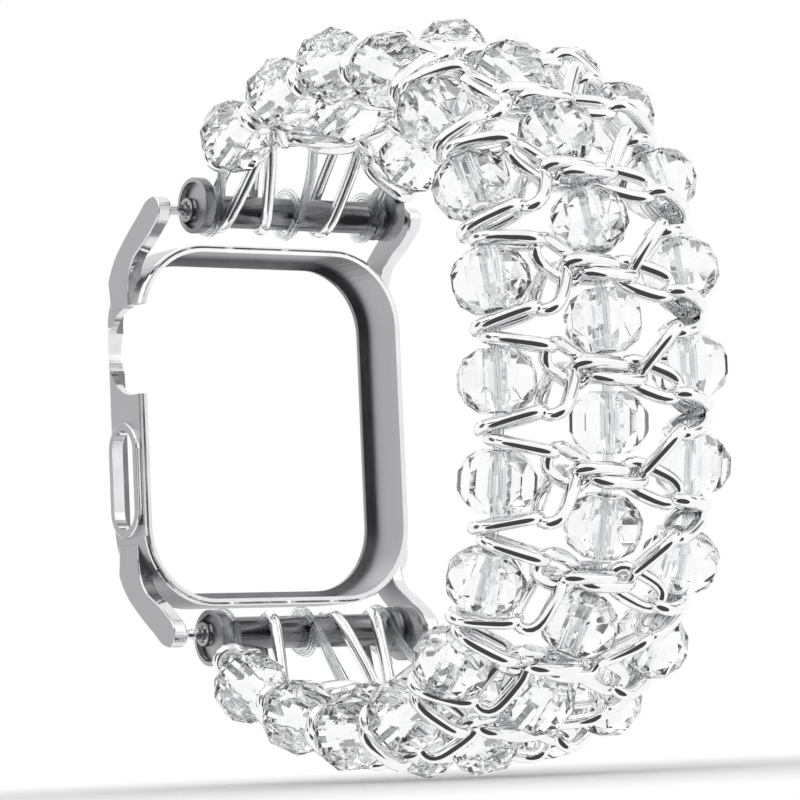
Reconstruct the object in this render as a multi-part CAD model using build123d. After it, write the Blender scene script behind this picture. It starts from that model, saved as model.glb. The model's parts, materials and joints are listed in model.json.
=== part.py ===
from build123d import *
import math
import os

# A watch band of faceted clear beads and curb chain on elastic cord, with its two end
# fittings, its spring bars and the metal case frame that it is pinned to.
# X runs along the wrist, Z from the six to the twelve o'clock end, and the wrist is on the
# -Y side of the case frame. The origin is the middle of the seat that the watch face rests
# on. All lengths are in millimetres, all angles in degrees.

os.makedirs("parts", exist_ok=True)

# Beads
bead_diameter = 8.1
bead_length = 6.25
bead_table_diameter = 4.3
bead_band_width = 2.15
bead_hole_diameter = 1.9
bead_facets = 8

# Chain links
link_length = 8.7
link_width = 4.7
link_wire = 1.08

# Layout of the band
row_pitch = 10.0
column_spacing = 12.2
bead_raise = 2.15
side_bead_step = 0.9
row_count = 14
end_run = 8.8

# Turn of the band between one row and the next, from the last row at the case frame to the
# middle of the near side; the other half of the loop is the same
row_turns = [10.0, 20.0, 22.0, 20.0, 22.0, 12.0]
middle_turn = 7.0

# Elastic cord
cord_diameter = 0.9
cord_end_gap = 0.15
cord_bend_gap = 0.6
cord_tube_gap = 0.15
cord_inset_on_tube = 0.8
cord_inset_at_disc = 0.3
wrap_step = 50.0

# End fittings
rod_sides = 16
tube_diameter = 3.6
tube_span = 22.0
flange_diameter = 6.2
flange_thickness = 1.3
flange_offset = 1.4
collar_diameter = 5.0
collar_thickness = 0.9
recess_depth = 0.6
recess_rim = 0.5
recess_margin = 0.45
fitting_tilt_top = 15.0
fitting_tilt_bottom = 20.0

# Loops that hang the band on the tubes
loop_wire = 1.0
loop_clearance = 0.2

# Spring bars
pin_sides = 12
barrel_diameter = 1.8
barrel_clearance = 0.05
barrel_inset = 0.3
pin_diameter = 1.2
pin_clearance = 0.05
pin_nose_diameter = 1.0
pin_nose_reach = 0.85
pin_shoulder_gap = 0.1
pin_hold = 4.0
pin_travel = 1.2
spring_diameter = 1.1
spring_end_gap = 0.2

# Case frame
watch_height = 38.6
watch_width = 33.3
watch_corner = 8.0
watch_clearance = 0.1
frame_wall = 0.85
frame_depth = 7.0
lip_thickness = 0.8
lip_overlap = 0.9
lip_bevel = 0.5
edge_chamfer = 0.5
lug_thickness = 1.6
lug_inset = 0.1
lug_tip_radius = 1.45
lug_hole_clearance = 0.05
lug_hole_depth = 1.1
bar_height = 23.4
bar_drop = 10.8
crown_notch_radius = 5.0
crown_height = 8.4
crown_depth = 5.25
button_length = 12.9
button_width = 6.2
button_height = -6.0
button_depth = 2.9
button_rim = 0.9
button_rim_height = 0.5
pad_height = 0.6
pad_width = 4.4
pad_depth = 3.4
overrun = 2.0

# Places of the five links of the upper half of a row, one link to a line: across as a share
# of the column spacing, along as a share of the row pitch, out as a share of the bead raise
link_place_shares = [
    (-0.905, 0.018, 0.40),
    (-0.525, 0.306, 1.04),
    (-0.090, 0.530, 0.74),
    (0.434, 0.441, 1.02),
    (-0.859, -0.231, 0.84),
]
# How each link lies: its heading in the plane of the band, the lift of its far end, and its
# roll about its own length. The last of the five is the left end of the other run.
link_angles = [(19, 31, 72), (53, -24, -63), (-2, -1, 59), (-21, 16, -10), (-14, 31, -79)]

# Middle and length of the three raised pads of the right wall, as shares of the watch height
pad_shares = [(0.282, 0.181), (-0.008, 0.228), (-0.342, 0.181)]

# Points of a lug's outline, down its outer side and back up its inner side, as shares of the
# bar's drop behind the front and of its height
lug_outer_shares = [(0.09, 0.56), (0.06, 0.73), (0.42, 0.905), (0.70, 0.995), (0.96, 1.055)]
lug_inner_shares = [(1.09, 0.958), (1.00, 0.915), (0.84, 0.868), (0.54, 0.782), (0.45, 0.69)]

# The three loops of an end, as shares like those of the links: the middle across, the low end
# along from the last hinge and out, with the heading away from the band's line in degrees
loop_place_shares = [(-0.656, 0.05, 1.77), (-0.361, 0.13, 2.00), (0.443, 0.16, 2.19)]
loop_headings = [12, -12, 12]

half_facet = 180.0 / bead_facets


def sind(a):
    return math.sin(math.radians(a))


def cosd(a):
    return math.cos(math.radians(a))


def solid_from(faces):
    return Solid(Shell(faces))


def polygon_face(points, *holes):
    outer = Wire.make_polygon(points, close=True)
    return Face(outer, [Wire.make_polygon(h, close=True) for h in holes])


# The line of the band. Row 1 is at the upper end of the case frame and the rows run round
# the wrist to the lower end. An angle says how far a row leans from +Z towards +Y.
lean = [middle_turn / 2]
for turn in reversed(row_turns):
    lean.append(lean[-1] + turn)
row_leans = list(reversed(lean)) + [-a for a in lean]

# Hinge points between the rows, walked up from the middle of the near side
upper = [Vector(0, 0, 0)]
for a in lean:
    upper.append(upper[-1] + Vector(0, sind(a), cosd(a)) * row_pitch)
bar_y = lip_thickness - bar_drop
near_y = bar_y - end_run - upper[-1].Y
hinges = [p + Vector(0, near_y, 0) for p in reversed(upper)]
hinges += [Vector(0, p.Y, -p.Z) for p in reversed(hinges[:-1])]
top_bar = Vector(0, bar_y, bar_height)
bottom_bar = Vector(0, bar_y, -bar_height)


class Local:
    """A place on the band: x across, s along the band towards its upper end, n outwards."""

    def __init__(self, origin, angle, flipped=False):
        self.origin = origin
        self.up = Vector(0, sind(angle), cosd(angle))
        self.out = Vector(0, -cosd(angle), sind(angle))
        self.turn = -1 if flipped else 1

    def at(self, x, s, n):
        across = Vector(1, 0, 0) * (x * self.turn)
        return self.origin + across + self.up * (s * self.turn) + self.out * n


def link_faces(place, centre, angles, length, width, wire):
    """A link with four-sided wire: two straight sides and three short sides at each end."""
    heading, lift, roll = angles
    along = Vector(cosd(heading) * cosd(lift), sind(heading) * cosd(lift), sind(lift))
    flat = Vector(-sind(heading), cosd(heading), 0)
    side = flat * cosd(roll) + along.cross(flat) * sind(roll)
    normal = along.cross(side)
    reach = (length - wire) / 2
    half = (width - wire) / 2
    corner = half * (1 - math.tan(math.radians(22.5)))
    outline = [(reach - corner, half), (reach, half - corner)]
    outline += [(a, -b) for a, b in reversed(outline)]
    outline += [(-a, -b) for a, b in outline]
    rings = []
    count = len(outline)
    for i, (a, b) in enumerate(outline):
        before = outline[i - 1]
        after = outline[(i + 1) % count]
        inward = math.atan2(a - before[0], before[1] - b)
        onward = math.atan2(after[0] - a, b - after[1])
        bend = (onward - inward + math.pi) % (2 * math.pi) - math.pi
        mitre = inward + bend / 2
        grow = 1 / math.cos(bend / 2)
        out_a = math.cos(mitre) * grow
        out_b = math.sin(mitre) * grow
        ring = []
        for across, above in ((1, 0), (0, 1), (-1, 0), (0, -1)):
            a2 = a + out_a * across * wire / 2
            b2 = b + out_b * across * wire / 2
            local = centre + along * a2 + side * b2 + normal * (above * wire / 2)
            ring.append(place.at(local.X, local.Y, local.Z))
        rings.append(ring)
    faces = []
    for i in range(count):
        here = rings[i]
        there = rings[(i + 1) % count]
        for j in range(4):
            k = (j + 1) % 4
            faces.append(polygon_face([here[j], there[j], there[k], here[k]]))
    return faces


def link_centre(i):
    x, s, n = link_place_shares[i]
    return Vector(x * column_spacing, s * row_pitch, n * bead_raise)


def chain_run(place, turned):
    """The five hooked links of one run of chain from one edge of the band to the other."""
    out = []
    for i in range(5):
        where = turned if i == 4 else place
        angles = link_angles[i]
        faces = link_faces(where, link_centre(i), angles, link_length, link_width, link_wire)
        out.append(solid_from(faces))
    return out


def bead(place, x, s, n, tilt=0.0):
    """A faceted bead with its hole along the band, leaning by tilt about the wrist line."""
    radius = bead_diameter / 2
    table = bead_table_diameter / 2
    hole = bead_hole_diameter / 2
    rings = []
    for r, h, step in (
        (table, bead_length / 2, 0),
        (radius, bead_band_width / 2, 1),
        (radius, -bead_band_width / 2, 0),
        (table, -bead_length / 2, 1),
        (hole, -bead_length / 2, 1),
        (hole, bead_length / 2, 0),
    ):
        ring = []
        for i in range(bead_facets):
            a = half_facet * (2 * i + step)
            px = r * cosd(a)
            pn = r * sind(a)
            ps = h * cosd(tilt) + pn * sind(tilt)
            pn = pn * cosd(tilt) - h * sind(tilt)
            ring.append(place.at(x + px, s + ps, n + pn))
        rings.append(ring)
    faces = []
    for low, high, step in ((1, 0, 1), (2, 1, 0), (3, 2, 1)):
        for i in range(bead_facets):
            j = (i + 1) % bead_facets
            if step:
                faces.append(polygon_face([rings[low][i], rings[high][i], rings[high][j]]))
                faces.append(polygon_face([rings[low][i], rings[low][j], rings[high][j]]))
            else:
                faces.append(polygon_face([rings[low][i], rings[low][j], rings[high][i]]))
                faces.append(polygon_face([rings[low][j], rings[high][i], rings[high][j]]))
    faces.append(polygon_face(rings[0], rings[5]))
    faces.append(polygon_face(rings[3], rings[4]))
    for i in range(bead_facets):
        j = (i + 1) % bead_facets
        faces.append(polygon_face([rings[5][i], rings[5][j], rings[4][i]]))
        faces.append(polygon_face([rings[5][j], rings[4][i], rings[4][j]]))
    return solid_from(faces)


def cord(points):
    """A stretch of cord with four flat sides along a line of points."""
    half = cord_diameter / 2
    rings = []
    last = len(points) - 1
    for i, p in enumerate(points):
        before = (p - points[i - 1]).normalized() if i else (points[1] - p).normalized()
        after = (points[i + 1] - p).normalized() if i < last else before
        middle = (before + after).normalized()
        above = middle.cross(Vector(1, 0, 0)).normalized()
        across = above.cross(middle).normalized()
        above = above / max(middle.dot(before), half / cord_diameter)
        rings.append([p + across * half, p + above * half, p - across * half, p - above * half])
    faces = [polygon_face(rings[0]), polygon_face(rings[last])]
    for here, there in zip(rings, rings[1:]):
        for j in range(4):
            k = (j + 1) % 4
            faces.append(polygon_face([here[j], there[j], there[k]]))
            faces.append(polygon_face([here[j], there[k], here[k]]))
    return solid_from(faces)


def write(name, solids):
    shape = solids[0] if len(solids) == 1 else Compound(children=solids)
    shape.label = name
    export_step(shape, f"parts/{name}.step")


# The leans of the two runs from the last beads to the tubes
rise = hinges[0].Z - bar_height
end_length = math.hypot(end_run, rise)
end_lean = math.degrees(math.atan2(end_run, -rise))
end_leans = [end_lean] + row_leans + [-end_lean]


def bead_lean(k):
    """The lean of the side beads at hinge k, halfway between the rows on both sides."""
    return (end_leans[k] + end_leans[k + 1]) / 2


def side_cords(k, place, start, side):
    """The cord of one side column from below bead k - 1 to the lower face of bead k."""
    x = side * column_spacing
    s = side * side_bead_step
    half = bead_length / 2 + cord_end_gap
    a = bead_lean(k)
    centre = hinges[k] + Vector(x, 0, 0) + place.up * s
    way = Vector(0, sind(a), cosd(a))
    return cord([start, centre + way * half, centre - way * (half - cord_end_gap)])


def cord_start(k, place, side):
    """The point just below bead k - 1 where a side cord of row k begins."""
    a = bead_lean(k - 1)
    upper_place = Local(hinges[k - 1], end_leans[k - 1])
    centre = hinges[k - 1] + Vector(side * column_spacing, 0, 0)
    centre += upper_place.up * (side * side_bead_step)
    return centre - Vector(0, sind(a), cosd(a)) * (bead_length / 2 + cord_bend_gap)


for k in range(1, row_count + 1):
    a = end_leans[k]
    centre = (hinges[k - 1] + hinges[k]) / 2
    place = Local(centre, a)
    turned = Local(centre, a, flipped=True)
    write(f"chain_row_{k:02d}", chain_run(place, turned) + chain_run(turned, place))
    knee = Local(hinges[k], a)
    tilt = bead_lean(k) - a
    beads = [bead(place, 0, 0, bead_raise)]
    for side in (-1, 1):
        beads.append(bead(knee, side * column_spacing, side * side_bead_step, 0, tilt))
    write(f"beads_row_{k:02d}", beads)
    half = row_pitch / 2 - cord_end_gap / 2
    cords = [cord([place.at(0, half, bead_raise), place.at(0, -half, bead_raise)])]
    for side in (-1, 1):
        cords.append(side_cords(k, place, cord_start(k, place, side), side))
    write(f"cord_row_{k:02d}", cords)


# Each end of the band: one run of chain, the loops on the tube and the cords round the tube.
# The place of an end has its s from the last hinge towards the tube.
def loop(place, shares, heading):
    """A long loop round the tube that takes one link of the end's run of chain."""
    x = shares[0] * column_spacing
    low = Vector(x, shares[1] * row_pitch, shares[2] * bead_raise)
    tube = Vector(x, end_length, 0)
    way = (tube - low).normalized()
    high = tube + way * (tube_diameter / 2 + loop_clearance + loop_wire / 2)
    centre = (low + high) / 2
    length = (high - low).length + loop_wire
    width = tube_diameter + 2 * (loop_clearance + loop_wire)
    lift = math.degrees(math.asin(way.Z))
    faces = link_faces(place, centre, (90 + heading, lift, 90), length, width, loop_wire)
    return solid_from(faces)


def round_tube(place, x):
    """The points of a cord's turn round the tube, from its inner side to its near side."""
    ring = tube_diameter / 2 + cord_tube_gap + cord_diameter / 2
    ring = ring / cosd(wrap_step / 2)
    points = []
    for i in range(6):
        a = 180 + wrap_step * i
        points.append(place.at(x * place.turn, end_length - ring * sind(a), ring * cosd(a)))
    return points


def end_of_band(name, k, upper_end):
    a = end_lean if upper_end else -end_lean
    place = Local(hinges[k], a, flipped=not upper_end)
    middle = place.at(0, row_pitch / 2, 0)
    links = Local(middle, a, flipped=not upper_end)
    turned = Local(middle, a, flipped=upper_end)
    write(f"chain_end_{name}", chain_run(turned, links))
    loops = []
    for shares, heading in zip(loop_place_shares, loop_headings):
        loops.append(loop(place, shares, heading))
    write(f"tube_loops_{name}", loops)

    start = [place.at(0, cord_end_gap / 2, bead_raise), place.at(0, bead_length / 2, bead_raise)]
    cords = [cord(start + round_tube(place, 0))]
    lean_of_bead = bead_lean(k)
    way = Vector(0, sind(lean_of_bead), cosd(lean_of_bead))
    half = bead_length / 2 + cord_end_gap
    disc_s = end_length - flange_offset - flange_diameter / 2
    disc_x = tube_span / 2 - cord_inset_at_disc
    turn_x = tube_span / 2 - cord_inset_on_tube
    for side in (-1, 1):
        centre = hinges[k] + Vector(side * column_spacing, 0, 0)
        centre += Local(hinges[k], end_leans[k]).up * (side * side_bead_step)
        if upper_end:
            ends = [centre - way * (bead_length / 2), centre + way * half]
        else:
            ends = [centre - way * (bead_length / 2 + cord_bend_gap)]
        ends.append(place.at(side * disc_x * place.turn, disc_s, 0))
        cords.append(cord(ends + round_tube(place, side * turn_x)))
    write(f"cord_end_{name}", cords)


end_of_band("upper", 0, True)
end_of_band("lower", row_count, False)

end_beads = []
for side in (-1, 1):
    knee = Local(hinges[0], end_lean)
    tilt = bead_lean(0) - end_lean
    end_beads.append(bead(knee, side * column_spacing, side * side_bead_step, 0, tilt))
write("beads_end_upper", end_beads)


# End fittings and spring bars
def rod(diameter, x0, x1, y, z, sides=rod_sides):
    """A many-sided rod along X between two places."""
    start = Plane(origin=(min(x0, x1), y, z), x_dir=(0, 1, 0), z_dir=(1, 0, 0))
    return extrude(start * RegularPolygon(diameter / 2, sides), abs(x1 - x0))


def end_fitting(bar, tilt):
    """A tube with a collar and an offset disc at each end and the bore of the spring bar."""
    way = 1 if bar.Z > 0 else -1
    disc_y = bar.Y - flange_offset * cosd(tilt)
    disc_z = bar.Z + way * flange_offset * sind(tilt)
    inner = tube_span / 2
    body = rod(tube_diameter, -inner, inner, bar.Y, bar.Z)
    for side in (-1, 1):
        x1 = side * (inner + collar_thickness)
        x2 = side * (inner + collar_thickness + flange_thickness)
        body += rod(collar_diameter, side * inner, x1, bar.Y, bar.Z)
        body += rod(flange_diameter, x1, x2, disc_y, disc_z)
    for side in (-1, 1):
        x2 = side * (inner + collar_thickness + flange_thickness)
        x3 = x2 - side * recess_depth
        recess = rod(flange_diameter - 2 * recess_rim, x3, x2, disc_y, disc_z)
        recess -= rod(barrel_diameter + 2 * recess_margin, x3, x2, bar.Y, bar.Z)
        body -= recess
    reach = inner + collar_thickness + flange_thickness + overrun
    bore = barrel_diameter + 2 * barrel_clearance
    return body - rod(bore, -reach, reach, bar.Y, bar.Z, pin_sides)


fitting_half = tube_span / 2 + collar_thickness + flange_thickness
barrel_half = fitting_half - barrel_inset
frame_half_width = watch_width / 2 + watch_clearance + frame_wall
frame_half_height = watch_height / 2 + watch_clearance + frame_wall
lug_outer = frame_half_width - lug_inset
lug_inner = lug_outer - lug_thickness


def spring_bar(name, bar, pulled_in):
    """Barrel, spring and the two tips, with the tips out in the lugs or pulled in."""
    bore = pin_diameter + 2 * pin_clearance
    reach = barrel_half + overrun
    barrel = rod(barrel_diameter, -barrel_half, barrel_half, bar.Y, bar.Z, pin_sides)
    barrel -= rod(bore, -reach, reach, bar.Y, bar.Z, pin_sides)
    write(f"spring_bar_barrel_{name}", [barrel])
    spring_half = barrel_half - pin_hold - pin_travel - spring_end_gap
    spring = rod(spring_diameter, -spring_half, spring_half, bar.Y, bar.Z, pin_sides)
    write(f"spring_bar_spring_{name}", [spring])
    back = pin_travel if pulled_in else 0
    for side, word in ((-1, "left"), (1, "right")):
        x0 = side * (barrel_half - pin_hold - back)
        x1 = side * (lug_inner - pin_shoulder_gap - back)
        x2 = side * (lug_inner + pin_nose_reach - back)
        tip = rod(pin_diameter, x0, x1, bar.Y, bar.Z, pin_sides)
        tip += rod(pin_nose_diameter, x1, x2, bar.Y, bar.Z, pin_sides)
        write(f"spring_bar_tip_{name}_{word}", [tip])


write("end_fitting_upper", [end_fitting(top_bar, fitting_tilt_top)])
write("end_fitting_lower", [end_fitting(bottom_bar, fitting_tilt_bottom)])
spring_bar("upper", top_bar, False)
spring_bar("lower", bottom_bar, True)


# Case frame
def front_plane(y):
    """A plane facing the wrist side, with its own x along X and its own y along Z."""
    return Plane(origin=(0, y, 0), x_dir=(1, 0, 0), z_dir=(0, -1, 0))


def wall_plane(x):
    """A plane facing -X, with its own x from the frame's front backwards and its y along Z."""
    return Plane(origin=(x, lip_thickness, 0), x_dir=(0, -1, 0), z_dir=(-1, 0, 0))


def rounded(half_width, half_height, radius):
    return RectangleRounded(2 * half_width, 2 * half_height, radius)


def slot(length, width):
    """A slot along its own y whose round ends have half as many sides as a rod."""
    radius = width / 2
    straight = length / 2 - radius
    points = []
    for way in (1, -1):
        for i in range(rod_sides // 2 + 1):
            a = 360 * i / rod_sides
            points.append((way * radius * cosd(a), way * (straight + radius * sind(a))))
    return make_face(Polyline(*points, close=True).edges())


pocket_half_width = watch_width / 2 + watch_clearance
pocket_half_height = watch_height / 2 + watch_clearance
pocket_corner = watch_corner + watch_clearance
outer_corner = pocket_corner + frame_wall

outline = rounded(frame_half_width, frame_half_height, outer_corner)
frame = extrude(front_plane(lip_thickness) * outline, frame_depth)
sides = frame.edges().group_by(Axis.Y)
frame = chamfer(sides[0] + sides[-1], edge_chamfer)

lug_outer_points = [(bar_drop * d, bar_height * h) for d, h in lug_outer_shares]
lug_inner_points = [(bar_drop * d, bar_height * h) for d, h in lug_inner_shares]
root = (lug_inner_points[-1][0], lug_outer_points[0][1])
lug_lines = Polyline(*lug_outer_points, *lug_inner_points, root, close=True)
lug_tip = Pos(bar_drop, bar_height) * RegularPolygon(lug_tip_radius, rod_sides)
lug_face = make_face(lug_lines.edges()) + lug_tip
lug_hole = Pos(bar_drop, bar_height) * Circle(pin_nose_diameter / 2 + lug_hole_clearance)
for x in (lug_outer, -lug_inner):
    lug = extrude(wall_plane(x) * lug_face, lug_thickness)
    hole_x = lug_inner + lug_hole_depth if x > 0 else -lug_inner
    lug -= extrude(wall_plane(hole_x) * lug_hole, lug_hole_depth)
    frame += lug
    frame += mirror(lug, about=Plane.XY)

# Raised rim of the button's window and the pads of the other wall
window = slot(button_length, button_width)
hole = slot(button_length - 2 * button_rim, button_width - 2 * button_rim)
rim_x = -frame_half_width + frame_wall / 2
rim_depth = button_rim_height + frame_wall / 2
button_place = Pos(button_depth + edge_chamfer, button_height)
frame += extrude(wall_plane(rim_x) * button_place * window, rim_depth)
for middle, length in pad_shares:
    pad = slot(watch_height * length, pad_width)
    pad_x = frame_half_width + pad_height
    place = Pos(pad_depth, watch_height * middle)
    frame += extrude(wall_plane(pad_x) * place * pad, pad_height + frame_wall / 2)

# The watch's pocket, the window of the lip, the crown's notch and the button's window
pocket = rounded(pocket_half_width, pocket_half_height, pocket_corner)
lip_corner = pocket_corner - lip_overlap
lip = rounded(pocket_half_width - lip_overlap, pocket_half_height - lip_overlap, lip_corner)
frame -= extrude(front_plane(0) * pocket, frame_depth + bar_drop)
frame -= extrude(front_plane(lip_thickness + overrun) * lip, frame_depth)
bevel_base = front_plane(lip_thickness) * rounded(
    pocket_half_width - lip_overlap + lip_bevel,
    pocket_half_height - lip_overlap + lip_bevel,
    lip_corner + lip_bevel,
)
frame -= extrude(bevel_base, lip_bevel, taper=45)
crown = Pos(crown_depth, crown_height) * RegularPolygon(crown_notch_radius, 2 * rod_sides)
crown += Pos(crown_depth + crown_notch_radius, crown_height) * Rectangle(
    2 * crown_notch_radius, 2 * crown_notch_radius
)
frame -= extrude(wall_plane(-pocket_half_width + overrun) * crown, frame_wall + 2 * overrun)
cut_depth = frame_wall + 2 * overrun
frame -= extrude(wall_plane(-pocket_half_width + overrun) * button_place * hole, cut_depth)
write("case_frame", [frame])
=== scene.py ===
import json
import math

import bmesh
import bpy
import numpy as np
from bpy.props import FloatProperty, FloatVectorProperty, IntProperty, PointerProperty
from mathutils import Matrix, Vector


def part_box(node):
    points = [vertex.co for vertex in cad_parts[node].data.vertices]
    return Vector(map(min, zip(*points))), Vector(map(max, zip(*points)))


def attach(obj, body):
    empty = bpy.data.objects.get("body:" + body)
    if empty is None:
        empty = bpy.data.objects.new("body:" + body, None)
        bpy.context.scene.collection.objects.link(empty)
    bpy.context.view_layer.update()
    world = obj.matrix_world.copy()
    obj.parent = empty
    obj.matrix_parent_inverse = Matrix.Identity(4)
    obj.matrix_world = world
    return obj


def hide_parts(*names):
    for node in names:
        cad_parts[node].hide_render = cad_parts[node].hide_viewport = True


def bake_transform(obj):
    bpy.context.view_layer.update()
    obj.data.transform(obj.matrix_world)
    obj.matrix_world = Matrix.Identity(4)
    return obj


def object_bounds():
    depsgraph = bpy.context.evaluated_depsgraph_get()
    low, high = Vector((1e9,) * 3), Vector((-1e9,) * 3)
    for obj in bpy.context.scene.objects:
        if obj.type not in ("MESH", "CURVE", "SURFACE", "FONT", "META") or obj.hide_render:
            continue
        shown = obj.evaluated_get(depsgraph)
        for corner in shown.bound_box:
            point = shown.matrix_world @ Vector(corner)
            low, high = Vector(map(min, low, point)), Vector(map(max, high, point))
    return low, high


bl_info = {
    "name": "Bead and Chain Watch Band",
    "version": (1, 0, 0),
    "blender": (4, 5, 0),
    "location": "View3D > Sidebar > Watch Band",
    "description": "Clear faceted beads and curb chain on elastic cord, pinned to a case frame",
    "category": "Object",
}

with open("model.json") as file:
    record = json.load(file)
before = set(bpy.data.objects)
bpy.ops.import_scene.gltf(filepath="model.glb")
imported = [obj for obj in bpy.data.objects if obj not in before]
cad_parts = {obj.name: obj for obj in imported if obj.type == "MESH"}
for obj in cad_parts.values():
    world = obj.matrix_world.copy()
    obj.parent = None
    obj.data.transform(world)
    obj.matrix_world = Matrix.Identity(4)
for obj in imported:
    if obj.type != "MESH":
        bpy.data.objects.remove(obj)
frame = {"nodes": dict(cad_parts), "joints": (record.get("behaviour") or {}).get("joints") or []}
cad_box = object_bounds()
MM = 0.001
BOX_MIDDLE = (Vector(cad_box[0]) + Vector(cad_box[1])) / 2 / MM
JOINTS = {j["name"]: j for j in frame["joints"]}
ROWS = sorted(name[len("chain_"):] for name in frame["nodes"] if name.startswith("chain_row_"))
ENDS = {"upper": "loops_upper_swing", "lower": "end_fitting_lower_turn"}


def length(text, default, description):
    """A length in millimetres, kept in metres like everything in the scene."""
    return FloatProperty(
        name=text, description=description, default=default * MM, min=0.0, unit="LENGTH"
    )


def angle(text, degrees, description):
    """An angle that is given in degrees and kept in radians."""
    return FloatProperty(
        name=text, description=description, default=math.radians(degrees), subtype="ANGLE"
    )


def colour(text, default, description):
    return FloatVectorProperty(
        name=text, description=description, default=default, size=3, min=0.0, max=1.0,
        subtype="COLOR",
    )


class ChainSizes(bpy.types.PropertyGroup):
    """Sizes of the curb links and of the long loops on the tubes."""

    wire: length("Wire", 1.8, "Width of a link's wire before it is rounded")
    press: FloatProperty(
        name="Press", description="How flat the wire of a link is pressed", default=0.92,
        min=0.5, max=1.0, subtype="FACTOR",
    )


class BeadSizes(bpy.types.PropertyGroup):
    """Cut of the clear beads."""

    facets: IntProperty(
        name="Facets", description="Facets round a bead", default=9, min=6, max=16
    )
    diameter: length("Diameter", 8.1, "Widest diameter of a bead")
    table: length("Table", 2.05, "Radius of the flat round the hole")
    shoulder: length("Shoulder", 3.38, "Radius of the middle ring of facets")
    shoulder_height: length("Shoulder Height", 2.2, "Height of the middle ring of facets")
    belt: length("Belt", 1.7, "Width of the widest band of facets")
    hole: length("Hole", 1.9, "Diameter of the hole along the bead")
    edge: length("Edge", 0.05, "Softening of the edges between facets")


class CordSizes(bpy.types.PropertyGroup):
    """Strands of the elastic cord."""

    strands: IntProperty(
        name="Strands", description="Strands of elastic in a column", default=5, min=2, max=8
    )
    strand: length("Strand", 0.34, "Diameter of one strand")
    spread: length("Spread", 0.4, "Distance of a strand from the middle of the bundle")
    tube_gap: length("Tube Gap", 0.6, "Distance of the bundle's middle from the tube")
    disc_half_span: length("Half Span at the Discs", 10.7, "Where a side cord passes a disc")
    tube_half_span: length("Half Span on the Tube", 10.2, "Where a side cord turns round the tube")


class CaseFrameSizes(bpy.types.PropertyGroup):
    """Sizes of the metal frame round the watch."""

    half_width: length("Half Width", 17.6, "Half of the outside width")
    half_height: length("Half Height", 20.25, "Half of the outside height")
    corner: length("Corner", 8.95, "Radius of the outside corners")
    wall: length("Wall", 0.85, "Thickness of the wall")
    depth: length("Depth", 7.0, "Depth of the frame from its front to its back edge")
    lip: length("Lip", 0.8, "Thickness of the front lip")
    overlap: length("Overlap", 0.9, "How far the lip reaches over the watch")
    bevel: length("Bevel", 0.5, "Bevel of the lip's window")
    edge: length("Edge", 0.45, "Rounding of the outside edges")
    lug: length("Lug", 1.6, "Thickness of a lug")
    lug_inset: length("Lug Inset", 0.1, "How far a lug stands inside the wall's outer face")
    lug_tip: length("Lug Tip", 1.3, "Radius of a lug's tip")
    lug_hole: length("Lug Hole", 1.1, "Diameter and depth of the blind hole in a lug")
    crown_notch: length("Crown Notch", 5.0, "Radius of the notch for the crown")
    button_rim: length("Button Rim", 0.9, "Width of the raised rim of the button's window")
    rim_height: length("Rim Height", 0.5, "How far that rim stands out")
    pad_height: length("Pad Height", 0.6, "How far the pads of the other wall stand out")


class FittingSizes(bpy.types.PropertyGroup):
    """Sizes of the end fittings and the spring bars in them."""

    tube: length("Tube", 3.6, "Diameter of the tube that the band hangs on")
    tube_half: length("Tube Half Span", 11.0, "Half of the tube's length between its collars")
    collar: length("Collar", 5.0, "Diameter of the collar beside a disc")
    collar_thickness: length("Collar Thickness", 0.9, "Thickness of a collar")
    disc: length("Disc", 6.2, "Diameter of an end disc")
    disc_thickness: length("Disc Thickness", 1.3, "Thickness of an end disc")
    disc_offset: length("Disc Offset", 1.4, "Distance of a disc's middle from the spring bar")
    upper_tilt: angle("Upper Tilt", 15, "Turn of the upper discs about the bar")
    lower_tilt: angle("Lower Tilt", 20, "Turn of the lower discs about the bar")
    recess: length("Recess", 0.6, "Depth of the recess in a disc")
    rim: length("Rim", 0.5, "Width of a disc's rim")
    bore: length("Bore", 1.9, "Diameter of the spring bar's bore")
    boss: length("Boss", 2.7, "Diameter of the boss round the bore")


class BandColours(bpy.types.PropertyGroup):
    """Colours of the metals, the beads and the cord."""

    silver: colour("Silver", (0.93, 0.93, 0.935), "Polished chain")
    satin: colour("Satin", (0.43, 0.43, 0.44), "Brushed walls of the case frame")
    bright: colour("Bright", (0.80, 0.80, 0.81), "Polished edges of the case frame")
    dark: colour("Dark", (0.22, 0.22, 0.23), "Dark plated fittings")
    crystal: colour("Crystal", (0.985, 0.988, 0.99), "Clear beads")
    elastic: colour("Elastic", (0.93, 0.94, 0.95), "Clear elastic cord")
    floor: colour("Floor", (0.94, 0.94, 0.94), "Studio floor")


class StageSettings(bpy.types.PropertyGroup):
    """Camera, lamps and floor."""

    azimuth: angle("Azimuth", -34.8, "Direction the camera stands in")
    elevation: angle("Elevation", -4.7, "Height of the camera")
    roll: angle("Roll", -2.5, "Turn of the camera about its view")
    distance: length("Distance", 430, "From the camera to the middle of the band")
    lens: FloatProperty(name="Lens", description="Focal length in mm", default=181.3)
    shift_x: FloatProperty(name="Shift X", description="Sideways lens shift", default=-0.027)
    shift_y: FloatProperty(name="Shift Y", description="Upward lens shift", default=0.002)
    key: FloatProperty(name="Key", description="Power of the main lamp in W", default=0.5)
    fill: FloatProperty(name="Fill", description="Power of the other lamps in W", default=0.2)
    ambient: FloatProperty(
        name="Ambient", description="Strength of the light from all round", default=0.6
    )


# Shared node groups and materials


MATH, VECTOR = "ShaderNodeMath", "ShaderNodeVectorMath"


def set_inputs(node, values):
    """Gives inputs of a node their values by name."""
    for name, value in values.items():
        node.inputs[name].default_value = value


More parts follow.
